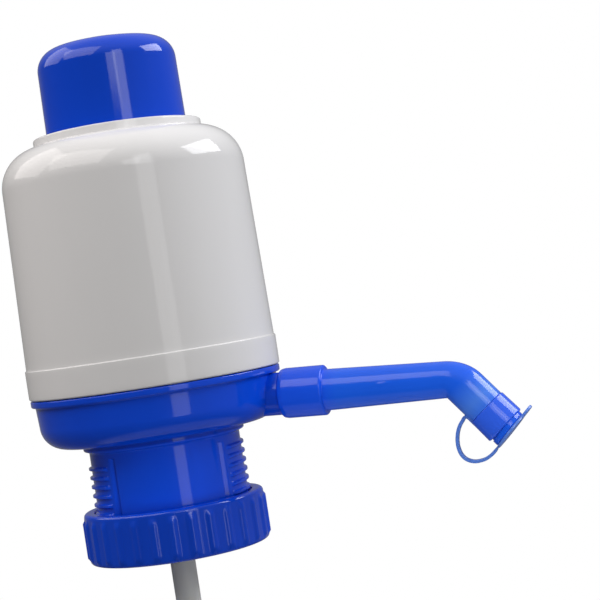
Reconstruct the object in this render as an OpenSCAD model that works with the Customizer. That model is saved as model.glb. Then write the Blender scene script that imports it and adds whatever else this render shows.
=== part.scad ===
// Hand press pump for water bottles with a 55 mm neck.
// Millimetres. Origin: centre of the face that seats on the bottle's mouth.
// +Z runs up the pump's axis, +X runs out along the spout.

/* [Shell] */
// Diameter of the shell's bottom band
shell_d = 100; // [98:0.5:104]
// Height of the bottom band
band_h = 11.6; // [8:0.2:16]
// Height from the shell's bottom edge to its top lip
shell_h = 101; // [96:1:112]
// How far the shell narrows, on the radius, from band to shoulder
shell_taper = 1.3; // [0.4:0.1:3]
// Radius of the shoulder
shoulder_r = 16; // [12:0.5:17]
// Wall of the shell
shell_wall = 2.2; // [1.6:0.1:2.6]

/* [Base] */
// Height of the bowl, from bottle mouth to flange top
bowl_h = 21.9; // [21:0.1:25]
// Radius of the bowl's bottom corner
bowl_corner = 9.3; // [7:0.1:10]
// Height of the bowl's underside above the bottle's mouth
bowl_rise = 1.6; // [1.4:0.1:2]
// Thickness of the bowl's flange
flange_t = 2.7; // [2:0.1:3.5]
// Thickness of the mouth gasket
gasket_t = 2.4; // [1.6:0.1:3]

/* [Neck clamp] */
// Diameter of the bottle's crown
crown_d = 55; // [53:0.5:56]
// Length of the slotted collet
collet_len = 34; // [32:1:38]
// Width of the slots between the fingers
slot_w = 2.3; // [1.6:0.1:3]
// Direction of the threaded fingers
collet_turn = 21; // [0:1:45]
// Pitch of the clamp thread
pitch = 3.6; // [3.4:0.1:3.8]
// Number of grip ribs round the clamp ring
grip_ribs = 30; // [18:1:36]

/* [Spout] */
// Droop of the spout below level, degrees
droop = 2.8; // [0:0.1:6]
// Height of the spout axis at the pump's axis
spout_z = 13.1; // [12.4:0.1:13.4]
// Distance along the spout to its bend
reach = 120.6; // [108:0.2:132]
// Angle of the bend, degrees
bend = 49.0; // [40:0.2:55]
// Length of the tip beyond the bend
tip_len = 27.6; // [26:0.2:32]
// Slant of the mouth from square, degrees
cut = 5.6; // [0:0.2:7]

/* [Button and bellows] */
// Diameter of the press button
button_d = 56; // [50:0.5:57]
// Height of the button above the shell's lip
button_rise = 37; // [34:0.5:44]
// Number of folds of the bellows
folds = 6; // [4:1:8]
// Number of active turns of the return spring
spring_turns = 9; // [6:1:11]

/* [Dip tube] */
// Outside diameter of the dip tube
tube_od = 10; // [9:0.1:10.4]
// Length of one dip tube section
tube_len = 117; // [60:1:160]

/* [Hidden] */
$fn = 96;

BLUE = [0.04, 0.16, 0.62];
WHITE = [0.90, 0.90, 0.91];
NATURAL = [0.86, 0.87, 0.85];
SILICONE = [0.80, 0.82, 0.82];
STEEL = [0.62, 0.63, 0.65];

// radii and heights that follow from the sizes above
r_band = shell_d / 2;
z_shell = bowl_h + 0.3;
z_lip = z_shell + shell_h;
z_shoulder = z_lip - 3.2 - shoulder_r;
r_side = r_band - 0.5;
r_top = r_side - shell_taper;
r_cavity = r_band - 2.8;
r_rim_out = r_cavity - 0.3;
r_rim_in = r_rim_out - 1.8;
z_floor = gasket_t + 2.6;
z_ledge = bowl_h - 2.3;
z_plate = z_ledge + 2.8;
z_bellows = z_plate + 1.6;
z_clamp = z_bellows + 2.2;
r_button = button_d / 2;
r_bush_in = r_button + 0.35;
r_bush_out = r_bush_in + 2;
z_stop = z_lip - 15;
z_push = z_stop - 5.9;
z_dome = z_lip + button_rise;
r_plate = r_rim_in - 0.2;
r_in = crown_d / 2 + 0.3;
r_root = r_in + 2.2;
r_crest = r_root + 1.1;
r_nut = r_crest + 0.35;
r_nut_crest = r_root + 0.35;
r_nut_out = r_nut + 4.4;
cone_top = -collet_len - 5.4;
cone_low = cone_top - 3.7;
nut_low = cone_low - 2.2;
nut_top = nut_low + 20;
thread_z = -6.54;
r_tube = tube_od / 2;
r_socket = r_tube + 0.05;
r_water = r_tube - 1.1;
z_joint = -1 - tube_len - 1;
z_foot = z_joint - 1 - tube_len;
valve_x = -24;
stub_r = 8.3;
sleeve_0 = 51.6;
sleeve_1 = 69.3;
spigot_1 = 67.2;
bend_r = 11.6;
bend_t = bend_r * tan(bend / 2);
mouth_t = tip_len;
ring_0 = tip_len - 12;
ring_1 = tip_len - 2.3;
cap_t = tip_len + 0.05;
cap_th = 0.85;
hinge_p = 8.6;
strap_w = 2.4;
strap_t = 1.3;

function arc(cx, cy, r, a0, a1, n) = [for (i = [0:n]) let (a = a0 + (a1 - a0) * i / n) [cx + r * cos(a), cy + r * sin(a)]];
function catmull(p, i, u) = let (n = len(p), a = p[max(i - 1, 0)], b = p[i], c = p[min(i + 1, n - 1)], d = p[min(i + 2, n - 1)])
    0.5 * (2 * b + (c - a) * u + (2 * a - 5 * b + 4 * c - d) * u * u + (3 * b - a - 3 * c + d) * u * u * u);
function smooth(p, k) = [for (i = [0:len(p) - 2]) for (j = [0:k - 1]) catmull(p, i, j / k), p[len(p) - 1]];
function unit(v) = v / norm(v);
function normal_at(p, i) = let (d = unit(p[min(i + 1, len(p) - 1)] - p[max(i - 1, 0)])) [-d[1], d[0]];

module tube(ro, ri, z0, z1) {
    difference() {
        translate([0, 0, z0]) cylinder(r = ro, h = z1 - z0);
        translate([0, 0, z0 - 1]) cylinder(r = ri, h = z1 - z0 + 2);
    }
}
module rod(r, z0, z1) translate([0, 0, z0]) cylinder(r = r, h = z1 - z0);
module taper(r0, r1, z0, z1) translate([0, 0, z0]) cylinder(r1 = r0, r2 = r1, h = z1 - z0);
module torus(rm, rw, z) translate([0, 0, z]) rotate_extrude() translate([rm, 0]) circle(r = rw, $fn = 32);
// along the spout: local z runs out of the pump, local x points down
module spout_frame() translate([0, 0, spout_z]) rotate([0, 90 + droop, 0]) children();
// at the bend: local z runs out of the mouth, local x points to the tip's underside
module tip_frame() spout_frame() translate([0, 0, reach]) rotate([0, bend, 0]) children();
// closed skin through a list of rings of points
module skin(rings) {
    m = len(rings[0]);
    n = len(rings);
    pts = [for (r = rings) for (p = r) p];
    sides = [for (i = [0:n - 2]) for (j = [0:m - 1]) let (a = i * m + j, b = i * m + (j + 1) % m, c = (i + 1) * m + (j + 1) % m, d = (i + 1) * m + j) each [[a, b, c], [a, c, d]]];
    polyhedron(points = pts, faces = concat([[for (j = [0:m - 1]) m - 1 - j]], sides, [[for (j = [0:m - 1]) (n - 1) * m + j]]), convexity = 10);
}

// ---------------------------------------------------------------- base
module base_bowl() color(BLUE) {
    rw = r_cavity + 0.4;
    difference() {
        union() {
            rotate_extrude() polygon(concat(
                [[6.3, gasket_t], [r_in - 0.2, gasket_t], [r_in - 0.2, 0], [r_root + 2.1, 0], [r_root + 2.1, bowl_rise]],
                arc(rw - bowl_corner, bowl_rise + bowl_corner, bowl_corner, -90, 0, 10),
                [[rw + 0.5, bowl_h - flange_t], [r_band - 0.8, bowl_h - flange_t], [r_band - 0.3, bowl_h - flange_t + 0.5], [r_band - 0.3, bowl_h - 0.4], [r_band - 0.7, bowl_h],
                 [r_rim_out, bowl_h], [r_rim_out, bowl_h + 1.8], [r_rim_out - 0.7, bowl_h + 1.8], [r_rim_out - 0.7, bowl_h + 3.4], [r_rim_out, bowl_h + 3.4],
                 [r_rim_out, z_clamp + 1.2], [r_rim_out - 0.5, z_clamp + 1.7], [r_rim_in, z_clamp + 1.7], [r_rim_in - 0.5, z_clamp + 1.0], [r_rim_in - 0.5, z_clamp + 0.3], [r_rim_in, z_clamp + 0.2],
                 [r_rim_in, z_ledge], [r_rim_in - 4.8, z_ledge], [r_rim_in - 4.8, z_ledge - 2.4], [r_rim_in, z_ledge - 7]],
                arc(rw - bowl_corner, bowl_rise + bowl_corner, bowl_corner - 2.4, 0, -90, 8),
                [[r_in + 2.4, bowl_rise + 2.4], [r_in + 2.4, z_floor], [6.3, z_floor]]));
            spout_frame() rod(stub_r, 42.5, spigot_1);
        }
        spout_frame() {
            rod(5.25, 38, spigot_1 + 1);
            tube(stub_r + 2, 7.05, 59, 61.2);
        }
        for (a = [45:90:315]) rotate(a) translate([15.6, 0, 0]) rod(2, gasket_t - 1, z_floor + 1);
        // groove for the seal under the valve plate
        tube(r_rim_in - 1.2, r_rim_in - 3.6, z_ledge - 1.3, z_ledge + 1);
        // socket groove for the collet's tongue
        tube(r_in + 1.85, r_in + 0.75, -1, 1.5);
    }
}

module neck_collet() color(BLUE) {
    difference() {
        union() {
            rotate_extrude() polygon(concat(
                [[r_in, 0], [r_in + 0.8, 0], [r_in + 0.8, 1.4], [r_in + 1.8, 1.4], [r_in + 1.8, 0], [r_root + 2.1, 0],
                 [r_root + 2.1, -0.5], [r_root + 1.8, -1], [r_root + 0.3, -1.55]],
                [[r_root, -1.8], [r_root, -collet_len + 2.6], [r_root - 1.2, -collet_len], [r_in + 0.2, -collet_len],
                 [r_in - 0.5, -collet_len + 1.6], [r_in - 0.5, -collet_len + 2.2], [r_in, -collet_len + 3.4]]));
            // thread ridges on two opposite fingers, as short arcs tilted to the helix
            for (side = [0, 1]) for (k = [0:6]) {
                z = thread_z + pitch * (collet_turn + 180 * side) / 360 - pitch * (k + side);
                rotate(collet_turn + 180 * side) translate([0, 0, z]) rotate([atan(pitch / (2 * PI * r_root)), 0, 0]) rotate(-39)
                    rotate_extrude(angle = 78) polygon([[r_root - 0.5, -1.15], [r_root, -0.95], [r_crest, -0.4], [r_crest, 0.4], [r_root, 0.95], [r_root - 0.5, 1.15]]);
            }
        }
        for (a = [45:90:315]) rotate(collet_turn + a) translate([r_in - 4, -slot_w / 2, -collet_len - 1]) cube([9, slot_w, collet_len - 2.8]);
    }
}

module neck_gasket() color(SILICONE)
    rotate_extrude() polygon([[19, 0.3], [19.3, 0], [r_in - 0.7, 0], [r_in - 0.4, 0.3], [r_in - 0.4, gasket_t], [19, gasket_t]]);

module clamp_cone() color(NATURAL)
    rotate_extrude() polygon([[r_in + 0.95, cone_low], [r_nut - 0.3, cone_low], [r_nut - 0.3, cone_top], [r_in + 2.1, cone_top]]);

module lock_ring() color(BLUE) {
    z0 = thread_z - pitch / 2 - 7 * pitch;
    rotate_extrude() polygon([[r_in + 1.2, nut_low], [r_nut_out - 1.2, nut_low], [r_nut_out, nut_low + 1.2], [r_nut_out, nut_top - 1.5], [r_nut_out - 1, nut_top - 0.3], [r_nut_out - 1.4, nut_top], [r_nut + 0.6, nut_top],
        [r_nut, nut_top - 0.6], [r_nut, nut_low + 2.2], [r_in + 1.2, nut_low + 2.2]]);
    for (i = [0:grip_ribs - 1]) rotate(360 * i / grip_ribs) translate([r_nut_out - 0.4, 0, nut_low + 2]) cylinder(r = 1.3, h = 15);
    // interrupted inner thread, midway between the collet's ridges
    for (k = [0:10]) rotate(30 + 60 * k) translate([0, 0, z0 + pitch * (30 + 60 * k) / 360]) rotate([atan(pitch / (2 * PI * r_nut)), 0, 0]) rotate(-27)
        rotate_extrude(angle = 54) polygon([[r_nut_crest, -0.4], [r_nut, -0.95], [r_nut + 0.5, -1.15], [r_nut + 0.5, 1.15], [r_nut, 0.95], [r_nut_crest, 0.4]]);
}

// ---------------------------------------------------------------- water path
module water_elbow() color(NATURAL) difference() {
    union() {
        rod(8.6, z_floor, spout_z + 4.4);
        taper(8.6, 7.4, spout_z + 4.4, spout_z + 5.4);
        spout_frame() rod(5.2, 0, 50);
    }
    rod(6.05, z_floor - 1, z_floor + 5.4);
    rod(3.8, z_floor, spout_z);
    spout_frame() rod(3.8, -1.5, 51);
}

module tube_holder() color(NATURAL) difference() {
    union() {
        rod(12, 0.3, gasket_t);
        rod(6, gasket_t, z_floor + 5.2);
        taper(7.0, 7.6, -14, -12.4);
        rod(7.6, -12.4, 0.3);
    }
    rod(r_socket, -15, -1);
    rod(r_water, -2, z_floor + 7);
}

module dip_tube_upper() color(NATURAL) tube(r_tube, r_water, -1 - tube_len, -1);

module tube_coupling() color(NATURAL) difference() {
    union() {
        taper(6.1, 6.7, z_joint - 13, z_joint - 11.8);
        rod(6.7, z_joint - 11.8, z_joint + 11.8);
        taper(6.7, 6.1, z_joint + 11.8, z_joint + 13);
        rod(7.2, z_joint - 1.2, z_joint + 1.2);
    }
    rod(r_socket, z_joint - 14, z_joint - 1);
    rod(r_water, z_joint - 2, z_joint + 2);
    rod(r_socket, z_joint + 1, z_joint + 14);
}

module dip_tube_lower() color(NATURAL) tube(r_tube, r_water, z_foot, z_joint - 1);

module foot_strainer() color(NATURAL) difference() {
    union() {
        rod(6.8, z_foot - 10, z_foot + 9);
        taper(6.8, 6.2, z_foot + 9, z_foot + 10);
        taper(5.6, 6.8, z_foot - 11.5, z_foot - 10);
    }
    rod(r_socket, z_foot, z_foot + 11);
    rod(r_water, z_foot - 9.5, z_foot + 1);
    for (a = [0:60:300]) rotate(a) translate([0, -0.9, z_foot - 12]) cube([9, 1.8, 10]);
}

// ---------------------------------------------------------------- pump
module umbrella(x, z_seat, up) translate([x, 0, z_seat]) {
    rotate_extrude() polygon(concat([[0, -1.6], [4, -1.5], [8.2, -0.5], [8.4, -0.25], [8.2, -0.05], [1.5, -0.05], [1.5, up + 1.7], [2.5, up + 1.9], [2.6, up + 2.6], [1.2, up + 4.6], [0, up + 4.6]]));
}
module valve_holes(x, z0, z1) translate([x, 0, 0]) {
    rod(1.6, z0 - 1, z1 + 1);
    for (a = [0:60:300]) rotate(a) translate([5, 0, 0]) rod(1.5, z0 - 1, z1 + 1);
}

module valve_plate() color(NATURAL) difference() {
    union() {
        rod(r_plate, z_ledge, z_plate);
        tube(16.2, 14.3, z_plate - 0.5, z_plate + 3);
    }
    valve_holes(valve_x, z_ledge, z_plate);
}
module plenum_seal() color(SILICONE) torus(r_rim_in - 2.4, 0.62, z_ledge - 0.64);
module outlet_valve() color(SILICONE) umbrella(valve_x, z_ledge, z_plate - z_ledge);

module bellows() color(NATURAL) {
    h = (z_push - 1.4 - z_bellows) / folds;
    rv = 33;
    rp = 40.5;
    w = 1.8;
    rotate_extrude() polygon(concat(
        [[rv - w, z_plate], [r_plate - 0.4, z_plate], [r_plate - 0.4, z_bellows]],
        [for (i = [0:folds - 1]) each [[rv, z_bellows + i * h], [rp, z_bellows + (i + 0.5) * h - 0.4], [rp, z_bellows + (i + 0.5) * h + 0.4]]],
        [[rv, z_push - 1.4], [rv, z_push], [25, z_push], [25, z_push - 1.4], [rv - w, z_push - 1.4]],
        [for (i = [0:folds - 1]) let (k = folds - 1 - i) each [[rp - w, z_bellows + (k + 0.5) * h + 0.4], [rp - w, z_bellows + (k + 0.5) * h - 0.4], [rv - w, z_bellows + k * h]]]));
}
module bellows_clamp() color(NATURAL)
    rotate_extrude() polygon([[38.4, z_bellows], [r_plate, z_bellows], [r_plate, z_clamp], [39.4, z_clamp], [38.4, z_clamp - 0.8]]);

function spring_z(a, top, low) = let (t = 360 * (spring_turns + 2), w = 1.66)
    a < 360 ? low + w * a / 360 : a > t - 360 ? top - w * (t - a) / 360 : low + w + (top - low - 2 * w) * (a - 360) / (t - 720);
module return_spring() color(STEEL) {
    t = 360 * (spring_turns + 2);
    n = 18 * (spring_turns + 2);
    low = z_plate + 0.8;
    top = z_push - 0.8;
    skin([for (i = [0:n]) let (a = t * i / n, z = spring_z(a, top, low))
        [for (j = [0:7]) let (b = -45 * j, r = 13 + 0.78 * cos(b)) [r * cos(a), r * sin(a), z + 0.78 * sin(b)]]]);
}

module pusher_plate() color(NATURAL) difference() {
    union() {
        rod(36.5, z_push, z_push + 3);
        tube(16.2, 14.3, z_push - 3, z_push + 0.5);
        tube(r_button - 2.4, r_button - 4.2, z_push + 2.5, z_push + 10);
    }
    valve_holes(0, z_push, z_push + 3);
}
module inlet_valve() color(SILICONE) umbrella(0, z_push, 3);

module push_button() color(BLUE) {
    rb = r_button;
    c = 9;
    zd = z_dome - 2.2;
    rotate_extrude() polygon(concat(
        [[rb - 2.3, z_push + 3], [rb + 3, z_push + 3], [rb + 3, z_push + 5.6], [rb, z_push + 5.6]],
        arc(rb - 0.5 - c, zd - c, c, 0, 78, 12),
        [[rb * 0.4, z_dome - 0.45], [rb * 0.2, z_dome - 0.1], [0, z_dome], [0, z_dome - 2.3], [rb * 0.2, z_dome - 2.4], [rb * 0.4, z_dome - 2.75]],
        arc(rb - 0.5 - c, zd - c, c - 2.2, 78, 0, 8)));
}
module guide_bush() color(NATURAL) {
    rotate_extrude() polygon([[r_bush_in, z_stop], [r_bush_out, z_stop], [r_bush_out, z_lip - 9.6], [r_bush_out + 3, z_lip - 9.6], [r_bush_out + 3, z_lip - 7.2], [r_bush_out, z_lip - 7.2],
        [r_bush_out, z_lip - 0.4], [r_bush_in + 0.5, z_lip - 0.4], [r_bush_in, z_lip - 0.9]]);
}

module outer_shell() color(WHITE) {
    s = shoulder_r;
    w = shell_wall;
    cx = r_top - s;
    rb = r_bush_out + 0.15;
    rotate_extrude() polygon(concat(
        [[r_cavity, z_shell], [r_band - 0.5, z_shell], [r_band, z_shell + 0.5], [r_band, z_shell + band_h - 0.3], [r_band - 0.15, z_shell + band_h], [r_side, z_shell + band_h]],
        arc(cx, z_shoulder, s, 0, 84, 14),
        [[rb + 2.9, z_lip - 3.0], [rb + 2.9, z_lip - 0.6], [rb + 2.3, z_lip], [rb, z_lip], [rb, z_lip - 7.0], [rb + 3, z_lip - 7.0]],
        arc(cx, z_shoulder, s - w, 78, 0, 10),
        [[r_cavity, z_shell + band_h + 4], [r_cavity, bowl_h + 3.1], [r_cavity - 0.7, bowl_h + 2.9], [r_cavity - 0.7, bowl_h + 2.4], [r_cavity, bowl_h + 2.1]]));
}

// ---------------------------------------------------------------- spout
module spout_tube() color(BLUE) {
    difference() {
        union() {
            spout_frame() {
                rotate_extrude() polygon(concat([[0, sleeve_0], [8.65, sleeve_0], [9.25, sleeve_0 + 0.45], [9.6, sleeve_0 + 1.05], [9.75, sleeve_0 + 1.8]], arc(8.45, sleeve_1 - 1.3, 1.3, 0, 75, 5), [[8.1, sleeve_1], [0, sleeve_1]]));
                taper(8.0, 7.05, sleeve_1 - 1, reach - bend_t);
                rod(7.05, reach - bend_t - 1, reach - bend_t + 0.3);
                translate([bend_r, 0, reach - bend_t]) rotate([90, 0, 0]) rotate_extrude_bend(7.1);
            }
            tip_frame() {
                rod(7.05, bend_t - 0.3, bend_t + 1);
                taper(7.05, 7.75, bend_t, bend_t + 3);
                rod(7.8, bend_t + 2.9, ring_0);
                rod(7.1, ring_0 - 1, mouth_t + 1.5);
                // lip that keeps the strap's ring on
                rod(7.5, ring_1 + 0.1, mouth_t + 1.4);
            }
        }
        spout_frame() {
            rod(8.37, sleeve_0 - 1, spigot_1 + 0.3);
            taper(6.1, 5.65, spigot_1, reach - bend_t + 0.3);
            translate([bend_r, 0, reach - bend_t]) rotate([90, 0, 0]) rotate_extrude_bend(5.6);
        }
        tip_frame() {
            rod(5.65, bend_t - 0.3, mouth_t + 3);
            // slanted mouth
            translate([0, 0, mouth_t]) rotate([0, -cut, 0]) translate([-15, -15, 0]) cube([30, 30, 6]);
            // groove that lets the strap's root lie flush with the underside
            translate([6.65, -strap_w / 2 - 0.15, ring_0 - 4.6]) cube([4, strap_w + 0.3, 4.9]);
        }
    }
}
// bend of radius bend_r that starts on the spout axis and turns towards the underside
module rotate_extrude_bend(r) rotate([0, 0, 180 - bend]) rotate_extrude(angle = bend) translate([bend_r, 0]) circle(r = r);

module spout_o_ring() color(SILICONE) spout_frame() torus(7.7, 0.62, 60.1);

function strap_path() = smooth([[ring_0 + 1.2, 7.6], [ring_0 - 1.2, 7.58], [ring_0 - 2.5, 7.65], [ring_0 - 3.25, 8.05], [ring_0 - 3.45, 8.9], [ring_0 - 3.15, 10], [ring_0 - 2.7, 11.9], [ring_0 - 1.8, 13.9], [ring_0 - 0.6, 15.65], [ring_0 + 0.9, 17.25],
    [ring_0 + 2.9, 18.75], [ring_0 + 5.5, 19.75], [ring_0 + 8.2, 19.6], [ring_0 + 10.8, 18], [ring_0 + 12.7, 15.2], [ring_0 + 13.4, 12.8], [ring_0 + 13.55, 10.8], [ring_0 + 13.5, 9.75]], 4);
module cap_strap() color(BLUE) {
    p = strap_path();
    n = len(p) - 1;
    tip_frame() {
        difference() {
            union() {
                rotate_extrude() polygon(concat([[7.15, ring_0 + 0.05], [8.1, ring_0 + 0.05], [8.3, ring_0 + 0.3]], arc(7.6, ring_1 - 0.8, 0.8, 0, 90, 5), [[7.15, ring_1]]));
                rotate([90, 0, 0]) translate([0, 0, -strap_w / 2]) linear_extrude(height = strap_w)
                    polygon(concat([for (i = [0:n]) let (q = p[i] + strap_t / 2 * normal_at(p, i)) [q[1], q[0]]], [for (i = [0:n]) let (k = n - i, q = p[k] - strap_t / 2 * normal_at(p, k)) [q[1], q[0]]]));
            }
            rod(7.15, ring_0 - 0.2, ring_1 + 1);
        }
    }
}
module spout_cap() color(BLUE) tip_frame() translate([0, 0, cap_t]) rotate([0, -cut, 0]) {
    rod(7.9, 0, cap_th);
    taper(4.6, 5.4, -3, 0.1);
    // lift tab on the upper side
    translate([-8.9, -3.4, 0]) cube([3.6, 6.8, cap_th]);
    translate([-8.9, 0, 0]) intersection() {
        cylinder(r = 3.4, h = cap_th);
        translate([-4, -4, 0]) cube([8, 8, cap_th]);
    }
    // hinge lug on the underside
    translate([7, -strap_w / 2 - 0.3, 0]) cube([hinge_p - 7, strap_w + 0.6, cap_th]);
    translate([hinge_p, strap_w / 2 + 0.3, cap_th / 2]) rotate([90, 0, 0]) cylinder(r = cap_th / 2, h = strap_w + 0.6);
}

base_bowl();
neck_collet();
neck_gasket();
clamp_cone();
lock_ring();
water_elbow();
tube_holder();
dip_tube_upper();
tube_coupling();
dip_tube_lower();
foot_strainer();
valve_plate();
plenum_seal();
outlet_valve();
bellows();
bellows_clamp();
return_spring();
pusher_plate();
inlet_valve();
push_button();
guide_bush();
outer_shell();
spout_tube();
spout_o_ring();
cap_strap();
spout_cap();
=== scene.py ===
import math

import bpy
import bmesh
import numpy as np
from mathutils import Matrix, Vector


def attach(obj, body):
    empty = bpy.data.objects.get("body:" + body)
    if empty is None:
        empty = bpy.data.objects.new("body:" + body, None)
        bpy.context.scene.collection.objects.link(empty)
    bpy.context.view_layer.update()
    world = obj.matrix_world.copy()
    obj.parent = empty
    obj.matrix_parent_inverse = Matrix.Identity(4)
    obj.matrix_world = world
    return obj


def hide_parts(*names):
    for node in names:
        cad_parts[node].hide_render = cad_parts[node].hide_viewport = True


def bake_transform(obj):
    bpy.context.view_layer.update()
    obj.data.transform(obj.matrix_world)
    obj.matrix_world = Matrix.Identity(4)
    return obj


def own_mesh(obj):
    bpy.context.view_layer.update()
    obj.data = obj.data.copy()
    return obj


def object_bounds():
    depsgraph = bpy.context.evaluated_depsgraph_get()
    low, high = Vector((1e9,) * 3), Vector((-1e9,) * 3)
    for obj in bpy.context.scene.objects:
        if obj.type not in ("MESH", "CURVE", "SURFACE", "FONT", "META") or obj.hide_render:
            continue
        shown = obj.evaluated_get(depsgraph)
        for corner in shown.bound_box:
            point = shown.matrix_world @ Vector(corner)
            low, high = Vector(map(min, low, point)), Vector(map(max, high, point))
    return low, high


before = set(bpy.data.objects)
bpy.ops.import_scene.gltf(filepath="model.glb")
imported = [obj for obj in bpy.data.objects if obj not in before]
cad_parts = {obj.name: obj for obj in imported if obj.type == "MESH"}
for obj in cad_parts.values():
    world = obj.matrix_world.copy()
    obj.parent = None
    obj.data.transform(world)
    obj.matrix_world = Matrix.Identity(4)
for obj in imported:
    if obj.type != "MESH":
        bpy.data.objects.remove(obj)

cad_lo, cad_hi = [list(map(float, c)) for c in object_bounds()]
MM = 0.001

# ------------------------------------------------------------------ sizes, in mm, as in the CAD
BOWL_H, FLANGE_T, GASKET_T = 21.9, 2.7, 2.4
R_BAND, BAND_H, Z_SHELL = 50.0, 11.6, 22.2
Z_LIP = Z_SHELL + 101.0
SHOULDER = 16.0
Z_SHOULDER = Z_LIP - 3.2 - SHOULDER
R_SIDE, R_TOP = 49.5, 48.2
R_CAV = 47.2
R_RIM_OUT = R_CAV - 0.3
R_RIM_IN = R_RIM_OUT - 1.8
Z_FLOOR = GASKET_T + 2.6
Z_LEDGE = BOWL_H - 2.3
Z_PLATE = Z_LEDGE + 2.8
Z_BELLOWS = Z_PLATE + 1.6
Z_CLAMP = Z_BELLOWS + 2.2
R_BUTTON = 28.0
R_BUSH_OUT = R_BUTTON + 2.35
Z_PUSH = Z_LIP - 15 - 5.9
Z_DOME = Z_LIP + 37
BOWL_RISE, BOWL_CORNER = 1.6, 9.3
R_IN, R_ROOT, R_CREST = 27.8, 30.0, 31.1
COLLET_LEN, SLOT_W, COLLET_TURN, PITCH = 34.0, 2.3, 21.0, 3.6
THREAD_Z = -6.54
R_NUT, R_NUT_CREST = 31.45, 30.35
R_NUT_OUT = R_NUT + 4.4
CONE_TOP = -COLLET_LEN - 5.4
NUT_LOW = CONE_TOP - 3.7 - 2.2
NUT_TOP = NUT_LOW + 20
DROOP, SPOUT_Z, REACH, BEND = math.radians(2.8), 13.1, 120.6, math.radians(49.0)
TIP_LEN = 27.6
BEND_R = 11.6
BEND_T = BEND_R * math.tan(BEND / 2)
SLEEVE_0, SLEEVE_1, SPIGOT_1 = 51.6, 69.3, 67.2
RING_0, RING_1 = TIP_LEN - 12.0, TIP_LEN - 2.3
CAP_T, CAP_TH, CUT = TIP_LEN + 0.05, 0.85, math.radians(5.6)
HINGE_T = CAP_T + CAP_TH / 2 * math.cos(CUT) + 8.6 * math.sin(CUT)
HINGE_P = 8.6 * math.cos(CUT) - CAP_TH / 2 * math.sin(CUT)
STRAP_W, STRAP_T = 2.4, 1.3

AX = np.array([math.cos(DROOP), 0.0, -math.sin(DROOP)])      # out along the spout
DOWN = np.array([-math.sin(DROOP), 0.0, -math.cos(DROOP)])   # underside of the straight part
ORG = np.array([0.0, 0.0, SPOUT_Z])
TH = DROOP + BEND
TIP = np.array([math.cos(TH), 0.0, -math.sin(TH)])           # out of the mouth
UND = np.array([-math.sin(TH), 0.0, -math.cos(TH)])          # underside of the tip
BP = ORG + REACH * AX
EY = np.array([0.0, 1.0, 0.0])
CAP_OUT = math.cos(CUT) * TIP - math.sin(CUT) * UND          # square to the slanted mouth
CAP_UND = math.cos(CUT) * UND + math.sin(CUT) * TIP


def tip_point(t, p, y=0.0):
    return BP + t * TIP + p * UND + y * EY


# ------------------------------------------------------------------ mesh helpers
def make(name, verts, faces, sharp=40.0):
    """A mesh object from points in mm; smooth shading with sharp edges above the given angle."""
    me = bpy.data.meshes.new(name)
    me.from_pydata([tuple(float(c) * MM for c in v) for v in verts], [], faces)
    bm = bmesh.new()
    bm.from_mesh(me)
    bmesh.ops.remove_doubles(bm, verts=bm.verts, dist=1e-7)
    bmesh.ops.recalc_face_normals(bm, faces=bm.faces)
    bm.to_mesh(me)
    bm.free()
    me.shade_smooth()
    me.set_sharp_from_angle(angle=math.radians(sharp))
    ob = bpy.data.objects.new(name, me)
    bpy.context.scene.collection.objects.link(ob)
    return ob


def fillet(pts, n=6):
    """Rounds the corners of a closed outline: each point is (x, y) or (x, y, radius)."""
    out = []
    m = len(pts)
    for i, q in enumerate(pts):
        p = np.array(q[:2], float)
        r = q[2] if len(q) > 2 else 0.0
        a = np.array(pts[i - 1][:2], float) - p
        b = np.array(pts[(i + 1) % m][:2], float) - p
        la, lb = np.linalg.norm(a), np.linalg.norm(b)
        if r <= 0 or la < 1e-9 or lb < 1e-9:
            out.append(tuple(p))
            continue
        a, b = a / la, b / lb
        ang = math.acos(max(-1, min(1, float(a @ b))))
        if ang > math.pi - 0.02:
            out.append(tuple(p))
            continue
        d = min(r / math.tan(ang / 2), 0.48 * la, 0.48 * lb)
        r = d * math.tan(ang / 2)
        c = p + (a + b) / np.linalg.norm(a + b) * (r / math.sin(ang / 2))
        v0, v1 = p + a * d - c, p + b * d - c
        a0 = math.atan2(v0[1], v0[0])
        da = math.atan2(v1[1], v1[0]) - a0
        da = (da + math.pi) % (2 * math.pi) - math.pi
        for k in range(n + 1):
            t = a0 + da * k / n
            out.append((c[0] + r * math.cos(t), c[1] + r * math.sin(t)))
    return out


def arc(cx, cy, r, a0, a1, n):
    return [(cx + r * math.cos(math.radians(a0 + (a1 - a0) * i / n)), cy + r * math.sin(math.radians(a0 + (a1 - a0) * i / n))) for i in range(n + 1)]


def resample(outline, step, closed=True):
    """Adds points to an outline's long straight runs, so that shading and bump stay even."""
    out = []
    m = len(outline)
    for i in range(m if closed else m - 1):
        a, b = np.array(outline[i]), np.array(outline[(i + 1) % m])
        k = max(1, int(math.ceil(np.linalg.norm(b - a) / step)))
        for j in range(k):
            out.append(tuple(a + (b - a) * j / k))
    return out if closed else out + [tuple(outline[-1])]


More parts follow.
